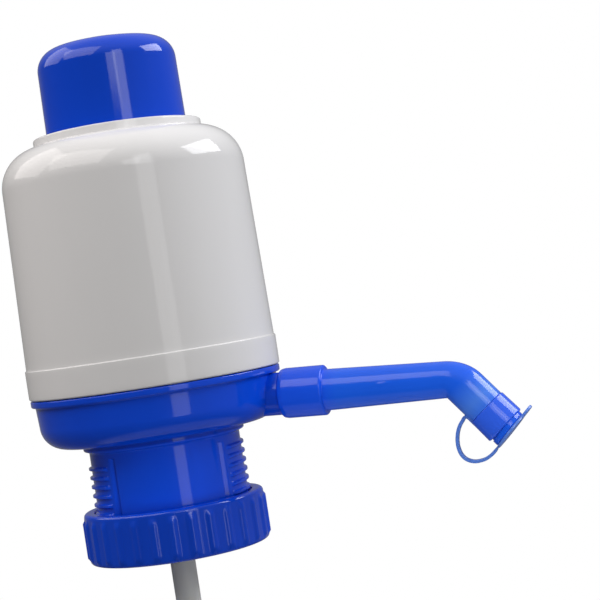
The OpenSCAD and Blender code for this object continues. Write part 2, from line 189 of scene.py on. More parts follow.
def lathe(name, outline, segs=192, frame_of=None, sharp=40.0):
    """Closed outline (r, z) turned about z, or about the axis given by frame_of(r, z, angle)."""
    verts, faces = [], []
    m = len(outline)
    on_axis = [abs(r) < 1e-6 for r, _ in outline]
    index = {}
    for k in range(segs):
        a = 2 * math.pi * k / segs
        for i, (r, z) in enumerate(outline):
            if on_axis[i]:
                if i in index:
                    continue
                index[i] = len(verts)
                verts.append(frame_of(0, z, 0) if frame_of else (0, 0, z))
            else:
                index[(k, i)] = len(verts)
                verts.append(frame_of(r, z, a) if frame_of else (r * math.cos(a), r * math.sin(a), z))
    def vi(k, i):
        return index[i] if on_axis[i] else index[(k % segs, i)]
    for k in range(segs):
        for i in range(m):
            j = (i + 1) % m
            q = [vi(k, i), vi(k, j), vi(k + 1, j), vi(k + 1, i)]
            q = [x for n, x in enumerate(q) if x not in q[:n]]
            if len(q) >= 3:
                faces.append(q)
    return make(name, verts, faces, sharp)


def loft(name, rings, closed_loop=False, sharp=40.0):
    """Skin through rings of equal length; open ends are capped unless the rings close on themselves."""
    m = len(rings[0])
    verts = [p for r in rings for p in r]
    faces = []
    n = len(rings)
    for i in range(n if closed_loop else n - 1):
        for j in range(m):
            a, b = i * m + j, i * m + (j + 1) % m
            i2 = (i + 1) % n
            faces.append((a, b, i2 * m + (j + 1) % m, i2 * m + j))
    if not closed_loop:
        faces.append(tuple(range(m))[::-1])
        faces.append(tuple((n - 1) * m + j for j in range(m)))
    return make(name, verts, faces, sharp)


def smoothstep(a, b, x):
    t = np.clip((x - a) / (b - a), 0, 1)
    return t * t * (3 - 2 * t)


def catmull(points, per):
    p = [np.array(q, float) for q in points]
    out = []
    for i in range(len(p) - 1):
        a, b, c, d = p[max(i - 1, 0)], p[i], p[i + 1], p[min(i + 2, len(p) - 1)]
        for k in range(per):
            u = k / per
            out.append(0.5 * (2 * b + (c - a) * u + (2 * a - 5 * b + 4 * c - d) * u * u + (3 * b - a - 3 * c + d) * u ** 3))
    out.append(p[-1])
    return out


# ------------------------------------------------------------------ materials
def nodes_of(mat):
    mat.use_nodes = True
    nt = mat.node_tree
    nt.nodes.clear()
    out = nt.nodes.new("ShaderNodeOutputMaterial")
    b = nt.nodes.new("ShaderNodeBsdfPrincipled")
    nt.links.new(b.outputs["BSDF"], out.inputs["Surface"])
    return nt, b


def noise(nt, coord, scale, detail=3.0, rough=0.55, stretch=None):
    n = nt.nodes.new("ShaderNodeTexNoise")
    n.inputs["Scale"].default_value = scale
    n.inputs["Detail"].default_value = detail
    n.inputs["Roughness"].default_value = rough
    if stretch:
        m = nt.nodes.new("ShaderNodeMapping")
        m.inputs["Scale"].default_value = stretch
        nt.links.new(coord, m.inputs["Vector"])
        coord = m.outputs["Vector"]
    nt.links.new(coord, n.inputs["Vector"])
    return n.outputs["Fac"]


def remap(nt, value, a, b, c, d):
    m = nt.nodes.new("ShaderNodeMapRange")
    m.inputs["From Min"].default_value = a
    m.inputs["From Max"].default_value = b
    m.inputs["To Min"].default_value = c
    m.inputs["To Max"].default_value = d
    nt.links.new(value, m.inputs["Value"])
    return m.outputs["Result"]


def math_node(nt, op, a, b):
    m = nt.nodes.new("ShaderNodeMath")
    m.operation = op
    for i, v in enumerate((a, b)):
        if isinstance(v, (int, float)):
            m.inputs[i].default_value = v
        else:
            nt.links.new(v, m.inputs[i])
    return m.outputs[0]


def mix_colour(nt, fac, a, b):
    m = nt.nodes.new("ShaderNodeMix")
    m.data_type = "RGBA"
    nt.links.new(fac, m.inputs["Factor"])
    m.inputs["A"].default_value = (*a, 1)
    m.inputs["B"].default_value = (*b, 1)
    return m.outputs["Result"]


def plastic(name, dark, light, rough=(0.2, 0.3), bump=0.00002, ripple=0.0, sss=0.0, sss_radius=(1, 1, 1), specular=0.5, wave=45, marks=0.05, painted_tip_sheen=None, deep=None):
    """Moulded plastic: faint flow variation in colour, fine orange peel, slow sink ripple, hairline handling marks in
    the gloss. thin and deep: thin is the spout's paler colour on its tip, a painted sheen that stands in for the white
    reflection the tip shows; deep is its deeper one on the thick sleeve.
    """
    mat = bpy.data.materials.new(name)
    nt, b = nodes_of(mat)
    tc = nt.nodes.new("ShaderNodeTexCoord").outputs["Object"]
    flow = noise(nt, tc, 26, 4, 0.5, (1.0, 1.0, 0.35))
    colour = mix_colour(nt, remap(nt, flow, 0.3, 0.7, 0, 1), dark, light)
    # the spout tip's paler colour is a painted sheen, standing in for the white reflection on the tip; it rises past
    # the bend and ends at the ring
    if painted_tip_sheen:
        dot = nt.nodes.new("ShaderNodeVectorMath")
        dot.operation = "DOT_PRODUCT"
        nt.links.new(tc, dot.inputs[0])
        dot.inputs[1].default_value = tuple(TIP)
        t = math_node(nt, "SUBTRACT", dot.outputs["Value"], float(BP @ TIP) / 1000)
        rise = remap(nt, t, 0.002, 0.011, 0, 1)
        fall = remap(nt, t, RING_0 / 1000 - 0.004, RING_0 / 1000 + 0.005, 1, 0)
        pale = mix_colour(nt, math_node(nt, "MULTIPLY", rise, fall), dark, painted_tip_sheen)
        nt.links.new(colour, pale.node.inputs["A"])
        out = nt.nodes.new("ShaderNodeVectorMath")
        out.operation = "DOT_PRODUCT"
        nt.links.new(tc, out.inputs[0])
        out.inputs[1].default_value = tuple(AX)
        reach = math_node(nt, "SUBTRACT", out.outputs["Value"], float(ORG @ AX) / 1000)
        colour = mix_colour(nt, remap(nt, reach, SLEEVE_1 / 1000 - 0.001, SLEEVE_1 / 1000 + 0.006, 1, 0), dark, deep)
        nt.links.new(pale, colour.node.inputs["A"])
    nt.links.new(colour, b.inputs["Base Color"])
    hair = noise(nt, tc, 900, 2, 0.6, (1.0, 0.08, 0.6))
    hair = remap(nt, hair, 0.62, 0.74, 0.0, 1.0)
    cloud = noise(nt, tc, 60, 4, 0.6)
    r = remap(nt, cloud, 0.3, 0.7, rough[0], rough[1])
    r = math_node(nt, "ADD", r, math_node(nt, "MULTIPLY", hair, marks))
    nt.links.new(r, b.inputs["Roughness"])
    peel = noise(nt, tc, 1400, 2, 0.5)
    slow = noise(nt, tc, wave, 1, 0.4)
    h = math_node(nt, "ADD", math_node(nt, "MULTIPLY", peel, bump), math_node(nt, "MULTIPLY", slow, ripple))
    if painted_tip_sheen:
        # the mould's oval witness mark, a low pip on the side of the tube
        off = nt.nodes.new("ShaderNodeVectorMath")
        off.operation = "SUBTRACT"
        nt.links.new(tc, off.inputs[0])
        off.inputs[1].default_value = (0.0929, -0.0078, 0.0095)
        flat = nt.nodes.new("ShaderNodeVectorMath")
        flat.operation = "MULTIPLY"
        nt.links.new(off.outputs["Vector"], flat.inputs[0])
        flat.inputs[1].default_value = (1 / 0.0027, 1 / 0.008, 1 / 0.0010)
        far = nt.nodes.new("ShaderNodeVectorMath")
        far.operation = "LENGTH"
        nt.links.new(flat.outputs["Vector"], far.inputs[0])
        h = math_node(nt, "ADD", h, remap(nt, far.outputs["Value"], 0.3, 1.0, 0.00013, 0))
    bp = nt.nodes.new("ShaderNodeBump")
    bp.inputs["Strength"].default_value = 1.0
    bp.inputs["Distance"].default_value = 1.0
    nt.links.new(h, bp.inputs["Height"])
    nt.links.new(bp.outputs["Normal"], b.inputs["Normal"])
    b.inputs["Specular IOR Level"].default_value = specular
    if sss:
        b.inputs["Subsurface Weight"].default_value = sss
        b.inputs["Subsurface Radius"].default_value = sss_radius
        b.inputs["Subsurface Scale"].default_value = 0.004
    return mat


def steel_wire():
    mat = bpy.data.materials.new("steel_wire")
    nt, b = nodes_of(mat)
    tc = nt.nodes.new("ShaderNodeTexCoord").outputs["Object"]
    n = noise(nt, tc, 300, 3, 0.6)
    nt.links.new(mix_colour(nt, remap(nt, n, 0.3, 0.7, 0, 1), (0.46, 0.47, 0.49), (0.62, 0.63, 0.65)), b.inputs["Base Color"])
    nt.links.new(remap(nt, n, 0.3, 0.7, 0.22, 0.38), b.inputs["Roughness"])
    b.inputs["Metallic"].default_value = 1.0
    return mat


BLUE = plastic("blue_plastic", (0.0015, 0.056, 0.61), (0.0020, 0.063, 0.66), (0.07, 0.10), 0.000001, 0.00004, specular=0.44)
# the spout's blues are lighter than the bowl's blue: painted light, standing in for the extra light falling on the
# spout
BLUE_SPOUT = plastic("blue_plastic_spout", (0.024, 0.106, 0.74), (0.028, 0.114, 0.78), (0.09, 0.12), 0.000001, 0.00012, specular=0.42, wave=120, marks=0.01)
# the tube's paler tip colour below is a painted sheen, standing in for the tip's white reflection
BLUE_TUBE = plastic("blue_plastic_tube", (0.0075, 0.100, 0.74), (0.0090, 0.109, 0.78), (0.09, 0.12), 0.000001, 0.00012, specular=0.42, wave=120, marks=0.01, painted_tip_sheen=(0.058, 0.195, 0.76), deep=(0.0060, 0.079, 0.74))
BLUE_STRAP = plastic("blue_plastic_strap", (0.085, 0.195, 0.62), (0.095, 0.210, 0.66), (0.12, 0.16), 0.000001, 0.00004, specular=0.42, marks=0.01)
WHITE = plastic("white_plastic", (0.79, 0.785, 0.785), (0.82, 0.815, 0.815), (0.06, 0.09), 0.000001, 0.00004, specular=0.44)
NATURAL = plastic("natural_plastic", (0.72, 0.73, 0.70), (0.80, 0.80, 0.77), (0.34, 0.46), 0.000006, 0.00003, 0.25, (0.6, 0.55, 0.5))
SILICONE = plastic("silicone", (0.60, 0.62, 0.62), (0.68, 0.70, 0.69), (0.5, 0.62), 0.00001, 0.0, 0.2, (0.5, 0.5, 0.45))
STEEL = steel_wire()


def paint(ob, mat):
    ob.data.materials.clear()
    ob.data.materials.append(mat)
    return ob


def cad_paint(node, mat):
    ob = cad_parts[node]
    if not ob.material_slots:
        ob.data.materials.append(mat)
    for s in ob.material_slots:
        s.material = mat


for n in ("clamp_cone", "water_elbow", "tube_holder", "dip_tube_upper", "tube_coupling", "dip_tube_lower", "foot_strainer", "valve_plate", "bellows", "bellows_clamp", "pusher_plate", "guide_bush"):
    cad_paint(n, NATURAL)
for n in ("neck_gasket", "plenum_seal", "outlet_valve", "inlet_valve", "spout_o_ring"):
    cad_paint(n, SILICONE)
for n in ("base_bowl", "neck_collet", "lock_ring", "push_button"):
    cad_paint(n, BLUE)
for n in ("spout_tube", "cap_strap", "spout_cap"):
    cad_paint(n, BLUE_SPOUT)
cad_paint("outer_shell", WHITE)
cad_paint("return_spring", STEEL)


def stands_for(ob, body, mat, slot, *nodes):
    paint(ob, mat)
    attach(ob, body)
    if nodes:
        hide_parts(*nodes)
    return ob


# ------------------------------------------------------------------ white shell
cx = R_TOP - SHOULDER
rb = R_BUSH_OUT + 0.15
shell = fillet([(R_CAV, Z_SHELL, 0.2), (R_BAND, Z_SHELL, 0.7), (R_BAND + 0.02, Z_SHELL + BAND_H, 0.42), (R_SIDE, Z_SHELL + BAND_H + 0.05, 0.22), (R_TOP + 0.05, Z_SHOULDER - 4)], 6)
shell += arc(cx, Z_SHOULDER, SHOULDER, 0, 83, 40)
shell += fillet([(33.9, 119.88), (rb + 2.95, 119.95, 0.5), (rb + 2.9, Z_LIP, 0.75), (rb, Z_LIP, 0.35), (rb, Z_LIP - 7.0)], 6)[1:]
shell += [(rb + 3, Z_LIP - 7.0)] + arc(cx, Z_SHOULDER, SHOULDER - 2.2, 78, 0, 16)
shell += [(R_CAV, Z_SHELL + BAND_H + 4), (R_CAV, BOWL_H + 3.1), (R_CAV - 0.7, BOWL_H + 2.9), (R_CAV - 0.7, BOWL_H + 2.4), (R_CAV, BOWL_H + 2.1)]
shell_ob = lathe("body_shell", resample(shell, 2.5), 256, sharp=35)
stands_for(shell_ob, "base", WHITE, "white_plastic", "outer_shell")

# ------------------------------------------------------------------ blue bowl with its stub
rw = R_CAV + 0.4
bowl = [(6.3, GASKET_T), (R_IN - 0.2, GASKET_T), (R_IN - 0.2, 0.0), (R_ROOT + 2.05, 0.0), (R_ROOT + 2.1, 0.05)]
bowl += [(R_ROOT + 2.1 + 0.5 * (1 - math.cos(math.radians(a))), BOWL_RISE - 0.5 + 0.5 * math.sin(math.radians(a))) for a in (0, 30, 60, 90)]
bowl += arc(rw - BOWL_CORNER, BOWL_RISE + BOWL_CORNER, BOWL_CORNER, -90, 0, 28)
bowl += fillet([(rw, BOWL_RISE + BOWL_CORNER + 0.1), (rw + 0.5, BOWL_H - FLANGE_T, 0.7), (R_BAND - 0.3, BOWL_H - FLANGE_T, 0.75), (R_BAND - 0.3, BOWL_H, 0.6), (R_RIM_OUT, BOWL_H), (R_RIM_OUT, BOWL_H + 1.8)], 6)[1:-1]
bowl += [(R_RIM_OUT, BOWL_H + 1.8), (R_RIM_OUT - 0.7, BOWL_H + 1.8), (R_RIM_OUT - 0.7, BOWL_H + 3.4), (R_RIM_OUT, BOWL_H + 3.4), (R_RIM_OUT, Z_CLAMP + 1.2), (R_RIM_OUT - 0.5, Z_CLAMP + 1.7),
         (R_RIM_IN, Z_CLAMP + 1.7), (R_RIM_IN - 0.5, Z_CLAMP + 1.0), (R_RIM_IN - 0.5, Z_CLAMP + 0.3), (R_RIM_IN, Z_CLAMP + 0.2), (R_RIM_IN, Z_LEDGE), (R_RIM_IN - 1.2, Z_LEDGE),
         (R_RIM_IN - 1.2, Z_LEDGE - 1.3), (R_RIM_IN - 3.6, Z_LEDGE - 1.3), (R_RIM_IN - 3.6, Z_LEDGE), (R_RIM_IN - 4.8, Z_LEDGE), (R_RIM_IN - 4.8, Z_LEDGE - 2.4), (R_RIM_IN, Z_LEDGE - 7)]
bowl += arc(rw - BOWL_CORNER, BOWL_RISE + BOWL_CORNER, BOWL_CORNER - 2.4, 0, -90, 12)
bowl += [(R_IN + 2.4, BOWL_RISE + 2.4), (R_IN + 2.4, Z_FLOOR), (6.3, Z_FLOOR)]
bowl_ob = lathe("bowl_with_stub", resample(bowl, 2.0), 240, sharp=35)


def along(r, s, a):
    return tuple(ORG + s * AX + r * (math.cos(a) * DOWN + math.sin(a) * EY))


def boolean(ob, tool, op):
    mod = ob.modifiers.new("b", "BOOLEAN")
    mod.operation = op
    mod.solver = "EXACT"
    mod.object = tool
    dg = bpy.context.evaluated_depsgraph_get()
    me = bpy.data.meshes.new_from_object(ob.evaluated_get(dg))
    ob.modifiers.clear()
    old = ob.data
    ob.data = me
    bpy.data.meshes.remove(old)
    bpy.data.objects.remove(tool)


stub = lathe("stub_tool", fillet([(0.0, 40.0), (8.3, 40.0), (8.3, SPIGOT_1, 0.6), (0.0, SPIGOT_1)], 4), 96, along)
boolean(bowl_ob, stub, "UNION")
boolean(bowl_ob, lathe("bore_tool", [(0.0, 37.0), (5.25, 37.0), (5.25, SPIGOT_1 + 1), (0.0, SPIGOT_1 + 1)], 64, along), "DIFFERENCE")
boolean(bowl_ob, lathe("groove_tool", [(7.05, 59.0), (10.0, 59.0), (10.0, 61.2), (7.05, 61.2)], 64, along), "DIFFERENCE")
for k in range(4):
    a = math.radians(45 + 90 * k)
    c = np.array([15.6 * math.cos(a), 15.6 * math.sin(a), 0])
    boolean(bowl_ob, lathe("air_tool", [(0.0, 1.0), (2.0, 1.0), (2.0, 7.0), (0.0, 7.0)], 32, lambda r, z, t, c=c: (c[0] + r * math.cos(t), c[1] + r * math.sin(t), z)), "DIFFERENCE")
bm = bmesh.new()
bm.from_mesh(bowl_ob.data)
bmesh.ops.remove_doubles(bm, verts=bm.verts, dist=2e-6)
bmesh.ops.dissolve_degenerate(bm, edges=bm.edges, dist=2e-6)
bm.to_mesh(bowl_ob.data)
bm.free()
bowl_ob.data.shade_smooth()
bowl_ob.data.set_sharp_from_angle(angle=math.radians(35))
stands_for(bowl_ob, "base", BLUE, "blue_plastic", "base_bowl")

# ------------------------------------------------------------------ slotted collet with thread ridges
def collet():
    rows = []
    # outer profile from the bead down to the tip, then the inner profile back up
    outer = [(R_ROOT + 2.0, 0.0), (R_ROOT + 2.08, -0.08), (R_ROOT + 2.1, -0.3), (R_ROOT + 2.06, -0.6), (R_ROOT + 1.9, -0.88), (R_ROOT + 1.6, -1.07), (R_ROOT + 0.6, -1.45), (R_ROOT + 0.25, -1.62), (R_ROOT + 0.06, -1.85), (R_ROOT, -2.2)]
    zs = list(np.arange(-2.6, -3.7, -0.4)) + [-3.8]
    zs += list(np.arange(-4.05, -31.2, -0.2))
    outer += [(R_ROOT, float(z)) for z in zs] + [(R_ROOT, -31.4), (R_ROOT - 0.55, -32.6), (R_ROOT - 1.1, -33.75), (R_ROOT - 1.3, -COLLET_LEN)]
    inner = [(R_IN + 0.3, -COLLET_LEN), (R_IN + 0.1, -33.8), (R_IN - 0.5, -32.4), (R_IN - 0.5, -31.8), (R_IN, -30.6)] + [(R_IN, float(z)) for z in np.arange(-29, -4.5, 1.5)[0:0]]
    inner += [(R_IN, -20.0), (R_IN, -10.0), (R_IN, -3.8), (R_IN, -1.5), (R_IN, 0.0)]
    prof = outer + inner
    no = len(outer)
    j_out = min(range(no), key=lambda j: abs(outer[j][1] + 3.8) + (10 if outer[j][0] > R_ROOT + 0.01 else 0))
    j_in = no + [i for i, q in enumerate(inner) if abs(q[1] + 3.8) < 1e-6][0]
    half = math.degrees(math.asin(SLOT_W / 2 / 29.0))
    reach = (45 - half + 2.9, 45 - half)
    angles, is_slot = [], []
    for k in range(4):
        c = COLLET_TURN + 90 * k
        u = np.linspace(-1, 1, 73)
        fine = c + reach[k % 2] * np.sign(u) * (1 - (1 - np.abs(u)) ** 1.5)
        angles += list(fine)
        is_slot += [False] * 72 + [True]
    n = len(angles)
    verts, faces = [], []
    for i, a in enumerate(angles):
        t = math.radians(a)
        k = i // 73
        rel = a - (COLLET_TURN + 90 * k)
        for j, (r, z) in enumerate(prof):
            if 0 < j < no and k % 2 == 0 and -31.2 < z < -4.0:
                centre = THREAD_Z + PITCH * a / 360.0
                u = (z - centre) / PITCH
                u = abs(u - round(u)) * PITCH
                turn = round((centre - z) / PITCH)
                first = 0 if k == 0 else 1
                ok = first <= turn <= first + 6
                h = 1.0 - float(smoothstep(0.38, 0.98, np.array(u)))
                edge = 1.0 - float(smoothstep(37.0, 39.5, np.array(abs(rel))))
                r = r + (1.1 * h * edge if ok else 0.0)
            if 0 < j < no and z < -3.7:
                # the slots' edges are rounded
                e = (reach[k % 2] - abs(rel)) * math.radians(29.0)
                if k % 2 == 0:
                    r = r - 1.3 * max(0.0, 1 - e / 1.7) * float(smoothstep(-3.75, -4.3, np.array(z)))
                e = e / 0.55
                if k % 2 and e < 1:
                    r = r - 0.55 * (1 - math.sqrt(max(0.0, 1 - (1 - e) ** 2))) * float(smoothstep(-3.75, -4.3, np.array(z)))
            verts.append((r * math.cos(t), r * math.sin(t), z))
    m = len(prof)
    for i in range(n):
        i2 = (i + 1) % n
        for j in range(m):
            j2 = (j + 1) % m
            if is_slot[i] and j_out <= j < j_in:
                continue
            faces.append((i * m + j, i * m + j2, i2 * m + j2, i2 * m + j))
        if is_slot[i]:
            faces.append((i * m + j_out, i * m + j_in, i2 * m + j_in, i2 * m + j_out))
    # slot side walls: outer and inner columns joined across the wall's thickness
    zi = [(j, prof[j][1]) for j in range(no, m) if j <= j_in]
    for i in range(n):
        for col in ([i] if is_slot[i] else []) + ([i] if is_slot[i - 1] else []):
            ring = [col * m + j for j in range(j_out, j_in + 1)]
            faces.append(tuple(ring))
    return make("collet_fingers", verts, faces, 38)


collet_ob = collet()
stands_for(collet_ob, "base", BLUE, "blue_plastic", "neck_collet")

# ------------------------------------------------------------------ clamp ring with grip ribs and inner thread
def clamp_ring():
    segs = 360
    ribs = 30
    z0 = THREAD_Z - PITCH / 2 - 7 * PITCH
    outer = fillet([(R_NUT - 1.0, NUT_LOW, 0.0), (R_NUT_OUT, NUT_LOW, 1.3), (R_NUT_OUT, NUT_TOP, 1.5), (R_NUT + 0.2, NUT_TOP, 0.4)], 6)
    prof = [(R_IN + 1.2, NUT_LOW)] + outer[1:]
    prof = resample(prof + [(R_NUT, NUT_TOP - 0.7)], 1.2, False)
    zs = np.arange(NUT_TOP - 0.8, NUT_LOW + 2.25, -0.3)
    inner = [(R_NUT, float(z)) for z in zs] + [(R_NUT, NUT_LOW + 2.2), (R_IN + 1.2, NUT_LOW + 2.2)]
    verts, faces = [], []
    full = prof + inner
    m = len(full)
    no = len(prof)
    for k in range(segs):
        a = 360.0 * k / segs
        t = math.radians(a)
        u = abs(((a * ribs / 360.0) + 0.5) % 1.0 - 0.5)
        for j, (r, z) in enumerate(full):
            if j < no:
                if r > R_NUT_OUT - 0.9:
                    zone = float(smoothstep(NUT_LOW + 1.2, NUT_LOW + 2.6, np.array(z)) * (1 - smoothstep(NUT_TOP - 3.8, NUT_TOP - 2.2, np.array(z))))
                    r = r + 0.9 * zone * math.sqrt(max(0.0, 1 - (u / 0.2) ** 2)) if u < 0.2 else r
            elif j < no + len(inner) - 2:
                for turn in (0, 1):
                    c = z0 + PITCH * (a + 360 * turn) / 360.0
                    lim = 1.0 if 3 < a + 360 * turn < 657 else 0.0
                    h = 1 - float(smoothstep(0.38, 0.98, np.array(abs(z - c))))
                    r = min(r, R_NUT - 1.1 * h * lim)
            verts.append((r * math.cos(t), r * math.sin(t), z))
    for k in range(segs):
        k2 = (k + 1) % segs
        for j in range(m):
            j2 = (j + 1) % m
            faces.append((k * m + j, k * m + j2, k2 * m + j2, k2 * m + j))
    return make("clamp_ring", verts, faces, 38)


stands_for(clamp_ring(), "ring", BLUE, "blue_plastic", "lock_ring")

# ------------------------------------------------------------------ press button
def button_outline():
    rb_, c, zd = R_BUTTON, 9.0, Z_DOME - 2.2
    o = fillet([(rb_ - 2.3, Z_PUSH + 3, 0.2), (rb_ + 3, Z_PUSH + 3, 0.5), (rb_ + 3, Z_PUSH + 5.6, 0.5), (rb_, Z_PUSH + 5.6, 0.3), (rb_ - 0.5, zd - c)], 5)[:-1]
    top = []
    for i in range(41):
        # the crown: rounded edge running into a shallow dome
        a = math.radians(90 * i / 40)
        top.append((rb_ - 0.5 - c + c * math.cos(a), zd - c + c * math.sin(a)))
    o += top
    r1 = rb_ - 0.5 - c
    o += [(r1 * (1 - k / 24), zd + 2.2 * (1 - (1 - k / 24) ** 2)) for k in range(1, 25)]
    o += [(r1 * (k / 10), zd - 2.2 + 2.2 * (1 - (k / 10) ** 2)) for k in range(0, 10)]
    o += [(rb_ - 0.5 - c + (c - 2.2) * math.cos(math.radians(90 - 90 * i / 14)), zd - c + (c - 2.2) * math.sin(math.radians(90 - 90 * i / 14))) for i in range(15)]
    return o


stands_for(lathe("press_button", resample(button_outline(), 2.5), 192, sharp=35), "button", BLUE, "blue_plastic", "push_button")

# ------------------------------------------------------------------ spout: sleeve, taper, bend and tip in one skin
def spout():
    segs = 128
    rings = []
    r1, r2 = 7.05, 7.8

    def ring(centre, u, r, inner=1.0, lean=0.0, along=None):
        pts = []
        for k in range(segs):
            a = 2 * math.pi * k / segs
            c, s = math.cos(a), math.sin(a)
            rr = r * inner if c > 0 else r
            q = centre + rr * c * u + r * s * EY
            pts.append(tuple(q + lean * r * c * along if lean else q))
        rings.append(pts)

    def straight(s, r):
        ring(ORG + s * AX, DOWN, r)

    def tipped(t, r, lean=0.0):
        ring(BP + t * TIP, UND, r, 1.0, lean * math.tan(CUT), TIP)

    def bent(b, r, mitre=True):
        c = ORG + (REACH - BEND_T) * AX + BEND_R * DOWN
        u = math.cos(b) * DOWN - math.sin(b) * AX
        k = 1.0
        if mitre:
            # inside of the bend: the two undersides meet in a corner
            k = (BEND_R - min((BEND_R - r1) / math.cos(b), (BEND_R - r2) / math.cos(BEND - b))) / r
        ring(c - BEND_R * u, u, r, k)

    # outside, from the sleeve's end to the mouth
    for q in fillet([(8.37, SLEEVE_0), (8.75, SLEEVE_0, 0.25), (9.45, SLEEVE_0 + 0.65, 0.8), (9.75, SLEEVE_0 + 2.1, 1.2), (9.75, SLEEVE_1, 1.4), (8.02, SLEEVE_1, 0.45), (7.97, 73.0), (8.37, 73.0)], 6)[:-1]:
        straight(q[1], q[0])
    end = REACH - BEND_T
    for s in np.linspace(75, end - 0.3, 30):
        straight(s, 7.97 - (7.97 - r1) * (s - 73) / (end - 73))
    for i in range(49):
        f = i / 48
        bent(BEND * f, r1 + (r2 - r1) * float(smoothstep(0.0, 1.0, np.array(f))))
    for t in np.linspace(BEND_T + 0.4, RING_0 - 0.6, 14):
        tipped(t, r2)
    for q in fillet([(r2, RING_0 - 0.5), (r2, RING_0, 0.25), (7.1, RING_0), (7.1, RING_1 + 0.1), (7.5, RING_1 + 0.1, 0.15), (7.5, TIP_LEN, 0.4), (5.65, TIP_LEN, 0.4), (5.65, TIP_LEN - 4)], 5):
        tipped(q[1], q[0], float(smoothstep(RING_1 - 2, RING_1, np.array(q[1]))))
    # bore, back to the sleeve's socket
    for t in np.linspace(TIP_LEN - 5, BEND_T + 0.2, 8):
        tipped(t, 5.65)
    for i in range(13):
        bent(BEND * (1 - i / 12), 5.6, False)
    for s, r in ((end - 0.4, 5.65), (100.0, 5.8), (85.0, 5.95), (SPIGOT_1 + 0.4, 6.1), (SPIGOT_1 + 0.3, 6.15), (SPIGOT_1 + 0.3, 8.3), (SPIGOT_1 + 0.2, 8.37), (62.0, 8.37), (54.0, 8.37)):
        straight(s, r)
    return loft("spout_body", rings, True, 38)


spout_ob = spout()
stands_for(spout_ob, "spout", BLUE_TUBE, "blue_plastic", "spout_tube")


def on_tip(r, t, a):
    return tuple(BP + t * TIP + r * (math.cos(a) * UND + math.sin(a) * EY))


ring_out = fillet([(7.15, RING_0 + 0.05), (8.2, RING_0 + 0.05, 0.3), (8.4, RING_1, 0.8), (7.15, RING_1, 0.1)], 7)
ring_ob = lathe("tip_ring", resample(ring_out, 1.2), 112, on_tip, 35)
stands_for(ring_ob, "spout", BLUE_SPOUT, "blue_plastic", "cap_strap")

# ------------------------------------------------------------------ strap: loop on the spout, thinner end towards the cap
PATH = catmull([(RING_0 + 1.2, 7.6), (RING_0 - 1.2, 7.58), (RING_0 - 2.5, 7.65), (RING_0 - 3.25, 8.05), (RING_0 - 3.45, 8.9), (RING_0 - 3.15, 10), (RING_0 - 2.7, 11.9), (RING_0 - 1.8, 13.9), (RING_0 - 0.6, 15.65),
                (RING_0 + 0.9, 17.25), (RING_0 + 2.9, 18.75), (RING_0 + 5.5, 19.75), (RING_0 + 8.2, 19.6), (RING_0 + 10.8, 18), (RING_0 + 12.7, 15.2), (RING_0 + 13.4, 12.8), (RING_0 + 13.55, 10.8), (RING_0 + 13.5, 9.75),
                (HINGE_T, HINGE_P), (HINGE_T - 0.15, 7.2)], 8)


def strap(name, i0, i1, thick, width):
    rings = []
    for i in range(i0, i1 + 1):
        d = PATH[min(i + 1, len(PATH) - 1)] - PATH[max(i - 1, 0)]
        d = d / np.linalg.norm(d)
        nrm = np.array([-d[1], d[0]])
        h, w = thick(i) / 2, width(i) / 2
        c = 0.42 * h
        outline = fillet([(-w, -h, c), (w, -h, c), (w, h, c), (-w, h, c)], 3)
        pts = []
        for y, k in outline:
            q = PATH[i] + k * nrm
            pts.append(tuple(tip_point(q[0], q[1], y)))
        rings.append(pts)
    return loft(name, rings, False, 50)


last = len(PATH) - 1
cut_at = last - 26


def thick(i):
    return STRAP_T - 0.08 * float(smoothstep(last - 30, last - 16, np.array(float(i)))) - 0.46 * float(smoothstep(last - 15, last - 5, np.array(float(i))))


def width(i):
    return STRAP_W + 0.5 * float(smoothstep(last - 20, last - 4, np.array(float(i))))


loop_ob = strap("strap_loop", 0, cut_at, thick, width)
stands_for(loop_ob, "spout", BLUE_STRAP, "blue_plastic")
film = strap("strap_hinge", cut_at, last, thick, width)
paint(film, BLUE_STRAP)
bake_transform(film)

